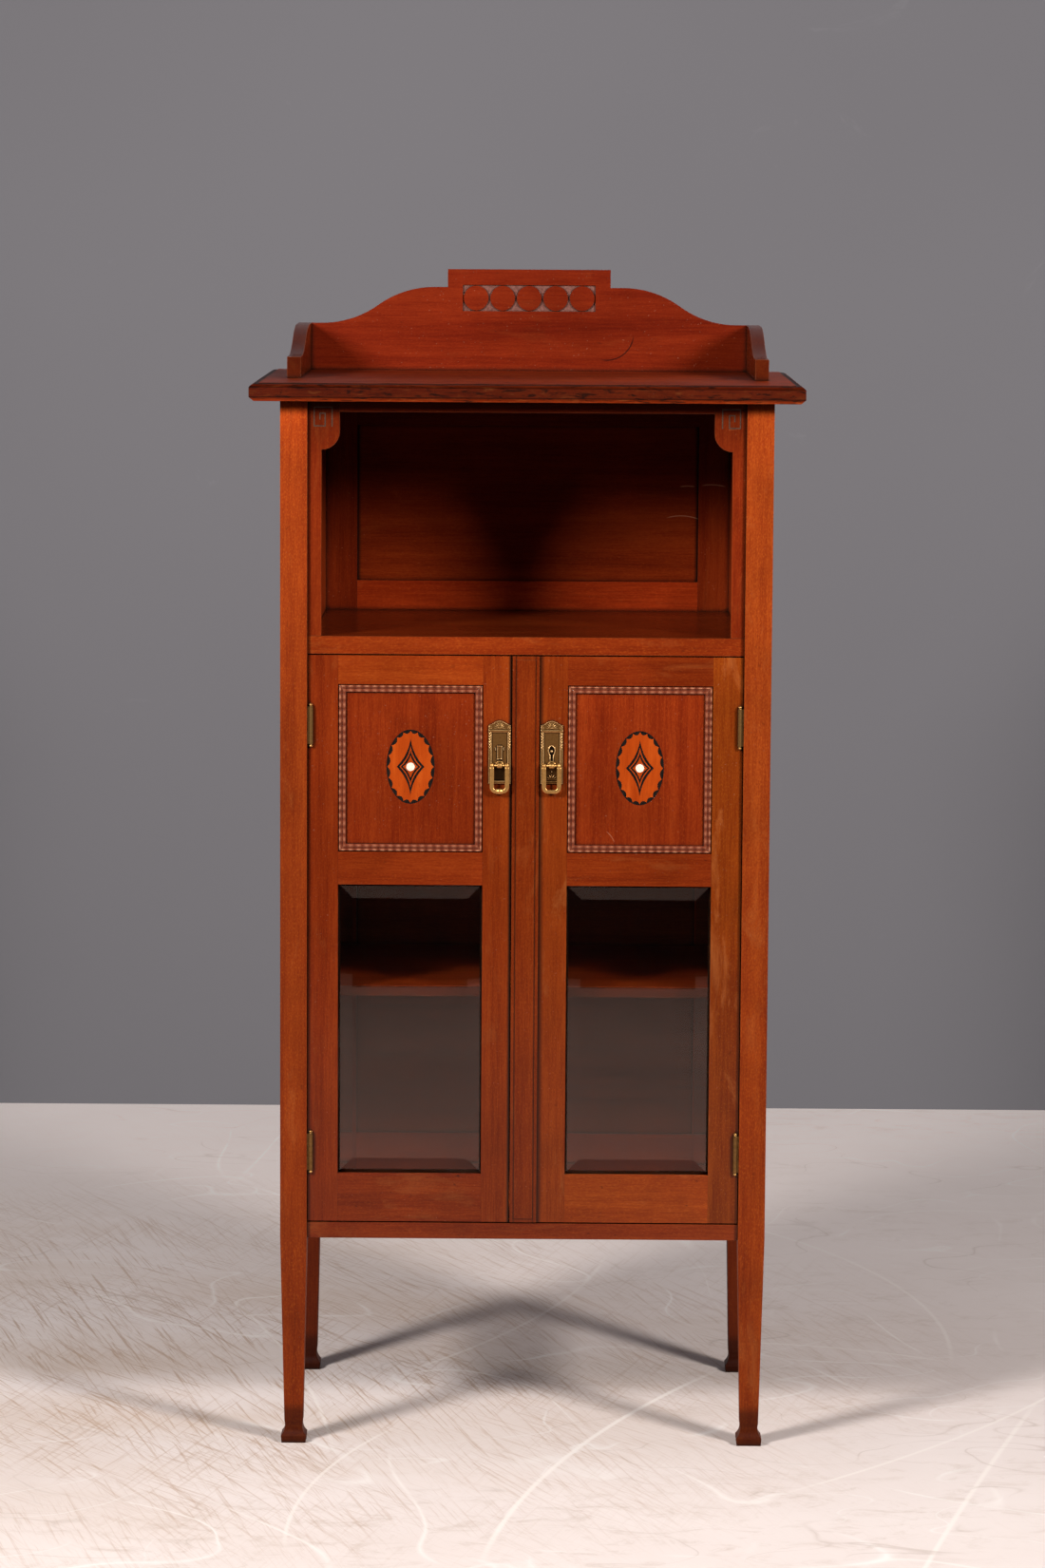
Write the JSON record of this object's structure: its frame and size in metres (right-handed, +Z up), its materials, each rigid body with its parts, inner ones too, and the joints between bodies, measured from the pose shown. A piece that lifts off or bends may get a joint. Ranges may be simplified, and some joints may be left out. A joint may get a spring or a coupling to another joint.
{
  "type": "display cabinet",
  "caption": "Tall wooden display cabinet on tapered legs, with a low gallery and an open niche above hinged doors of inlaid wood panels over bevelled glass, with brass drop handles.",
  "frame": {"origin": "on the floor under the middle of the top board, which is the bottom centre of the whole", "axes": "+Z up, -Y out of the front with the doors, +X to the right of someone who faces the front"},
  "size_m": [0.672, 0.446, 1.448],
  "materials": {
    "mahogany": "polished",
    "carcass_wood": "satin",
    "satinwood": "polished",
    "ebony": "polished",
    "boxwood": "polished",
    "pearl": "gloss",
    "glass": "clear",
    "brass": "aged",
    "lock_steel": "satin"
  },
  "bodies": {
    "cabinet": {"leg_front_left": "mahogany", "leg_front_right": "mahogany", "leg_back_left": "mahogany", "leg_back_right": "mahogany", "side_panel_left": "mahogany", "side_panel_right": "mahogany", "top_board": "mahogany", "gallery_back": "mahogany", "gallery_side_left": "mahogany", "gallery_side_right": "mahogany", "top_rail": "mahogany", "niche_stile_left": "mahogany", "niche_stile_right": "mahogany", "key_lines": "boxwood", "niche_shelf": "mahogany", "bottom_board": "mahogany", "inner_shelf": "carcass_wood", "shelf_cleats": "carcass_wood", "door_stop": "carcass_wood", "back_stile_left": "carcass_wood", "back_stile_right": "carcass_wood", "back_rail_top": "carcass_wood", "back_rail_middle": "carcass_wood", "back_rail_bottom": "carcass_wood", "back_panel_upper": "carcass_wood", "back_panel_lower": "carcass_wood", "hinge_leaves_frame": "brass", "hinge_pins": "brass"},
    "door_left": {"door_left_hinge_leaves": "brass", "door_left_hinge_stile": "mahogany", "door_left_meeting_stile": "mahogany", "door_left_top_rail": "mahogany", "door_left_middle_rail": "mahogany", "door_left_bottom_rail": "mahogany", "door_left_panel": "mahogany", "door_left_ripple_moulding": "mahogany", "door_left_glass": "glass", "door_left_glazing_beads": "carcass_wood", "door_left_inlay_ground": "satinwood", "door_left_inlay_dark": "ebony", "door_left_inlay_pearl": "pearl", "door_left_handle_plate": "brass"},
    "door_right": {"door_right_hinge_leaves": "brass", "door_right_hinge_stile": "mahogany", "door_right_meeting_stile": "mahogany", "door_right_top_rail": "mahogany", "door_right_middle_rail": "mahogany", "door_right_bottom_rail": "mahogany", "door_right_panel": "mahogany", "door_right_ripple_moulding": "mahogany", "door_right_glass": "glass", "door_right_glazing_beads": "carcass_wood", "door_right_inlay_ground": "satinwood", "door_right_inlay_dark": "ebony", "door_right_inlay_pearl": "pearl", "door_right_handle_plate": "brass", "door_right_lock": "lock_steel", "door_right_centre_strip": "mahogany"},
    "bail_left": {"bail_left": "brass"},
    "bail_right": {"bail_right": "brass"}
  },
  "joints": [
    {"name": "door_left_hinge", "type": "hinge", "parent": "cabinet", "child": "door_left", "pos_m": [-0.2624, -0.1851, 0.634], "axis": [0, 0, -1], "range_deg": [0, 120]},
    {"name": "door_right_hinge", "type": "hinge", "parent": "cabinet", "child": "door_right", "pos_m": [0.2624, -0.1851, 0.634], "axis": [0, 0, 1], "range_deg": [0, 120]},
    {"name": "bail_left_swing", "type": "hinge", "parent": "door_left", "child": "bail_left", "pos_m": [-0.0314, -0.1894, 0.8518], "axis": [-1, 0, 0], "range_deg": [0, 170]},
    {"name": "bail_right_swing", "type": "hinge", "parent": "door_right", "child": "bail_right", "pos_m": [0.0324, -0.1894, 0.8518], "axis": [-1, 0, 0], "range_deg": [0, 170]}
  ]
}
